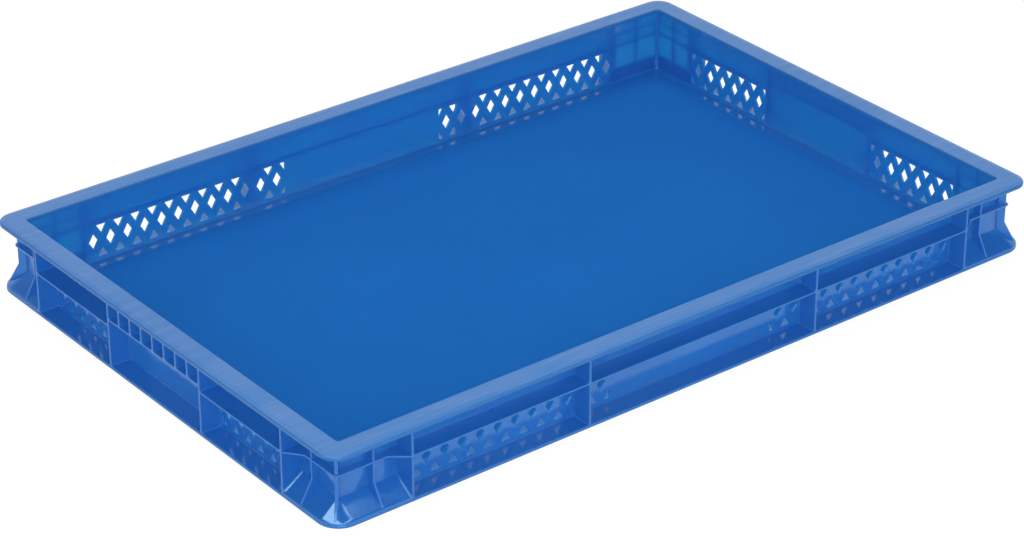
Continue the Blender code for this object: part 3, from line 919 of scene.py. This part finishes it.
# %% Light
def soft_world():
    """White screens all round up to a third of the height, and a dim ceiling above them."""
    world = bpy.data.worlds.new("studio_sky")
    bpy.context.scene.world = world
    world.use_nodes = True
    tree = world.node_tree
    direction = add_node(tree, "ShaderNodeTexCoord").outputs["Generated"]
    height = add_node(tree, "ShaderNodeSeparateXYZ", {"Vector": direction}).outputs["Z"]
    shade = ramp(tree, height, [(0.49, (0.97, 0.97, 0.97)), (0.62, (0.03, 0.03, 0.03))])
    sky = tree.nodes["Background"]
    tree.links.new(shade, sky.inputs["Color"])
    sky.inputs["Strength"].default_value = 1.0
    white = add_node(tree, "ShaderNodeBackground", Color=(1.0, 1.0, 1.0, 1.0), Strength=1.0)
    path = add_node(tree, "ShaderNodeLightPath")
    mix = add_node(tree, "ShaderNodeMixShader", {0: path.outputs["Is Camera Ray"], 1: sky.outputs[0],
                                                 2: white.outputs[0]})
    tree.links.new(mix.outputs[0], tree.nodes["World Output"].inputs["Surface"])


def soft_box(name, place, width, height, power, aim=(0, 0, 0), turn=0):
    """A large lamp that looks at the tray, turned about its own axis by an angle in degrees."""
    lamp = bpy.data.lights.new(name, "AREA")
    lamp.shape = "RECTANGLE"
    lamp.size = width
    lamp.size_y = height
    lamp.energy = power
    box = bpy.data.objects.new(name, lamp)
    box.location = place
    look = (Vector(aim) - Vector(place)).to_track_quat("-Z", "Y").to_matrix()
    box.rotation_euler = (look @ Matrix.Rotation(radians(turn), 3, "Z")).to_euler()
    bpy.context.scene.collection.objects.link(box)
    return box


soft_world()
fills = [soft_box("low_key_soft_box", (-1.446, -1.851, 0.855), 2.0, 1.0, 23),
         soft_box("high_key_soft_box", (-0.937, -1.499, 1.768), 1.2, 0.5, 16),
         soft_box("left_soft_box", (-2.149, 0.264, 1.250), 1.7, 1.4, 9),
         soft_box("right_soft_box", (0.633, -2.070, 1.250), 1.7, 1.4, 10)]
for box in fills:
    box.data.use_shadow = False
soft_box("overhead_soft_box", (0.500, 0.650, 2.350), 2.4, 1.6, 27).visible_glossy = False
soft_box("back_strip_lamp", (1.540, 1.970, 0.030), 2.4, 0.05, 20).visible_glossy = False
soft_box("right_strip_lamp", (2.450, 0.100, 0.030), 1.4, 0.05, 5).visible_glossy = False
soft_box("left_glint_card", (-1.00, 0.20, 2.2), 0.9, 2.4, 50, (-1.00, 0.20, 0)).visible_diffuse = False
soft_box("right_glint_card", (0.0, -1.02, 2.2), 1.9, 0.25, 9, (0.0, -1.02, 0), 21).visible_diffuse = False

# %% [markdown]
# ## Camera
# The camera stands where the photograph was taken from. Its place and lens were solved from the tray's
# straight edges and known plan. The tiny shift centres the picture on its own pixels.

# %% Camera
camera = bpy.data.cameras.new("camera")
camera.lens = 115.6
camera.sensor_width = 36.0
camera.clip_start = 0.01
camera.shift_x = -0.5 / 1024
camera.shift_y = 0.5 / 1024
viewer = bpy.data.objects.new("camera", camera)
viewer.location = (-1.2492, -1.5854, 1.1060)
viewer.rotation_euler = Vector((0.5418, 0.6900, -0.4799)).to_track_quat("-Z", "Y").to_euler()
bpy.context.scene.collection.objects.link(viewer)
bpy.context.scene.camera = viewer
bpy.context.scene.view_settings.view_transform = "Standard"
print("camera at", tuple(round(value, 3) for value in viewer.location))
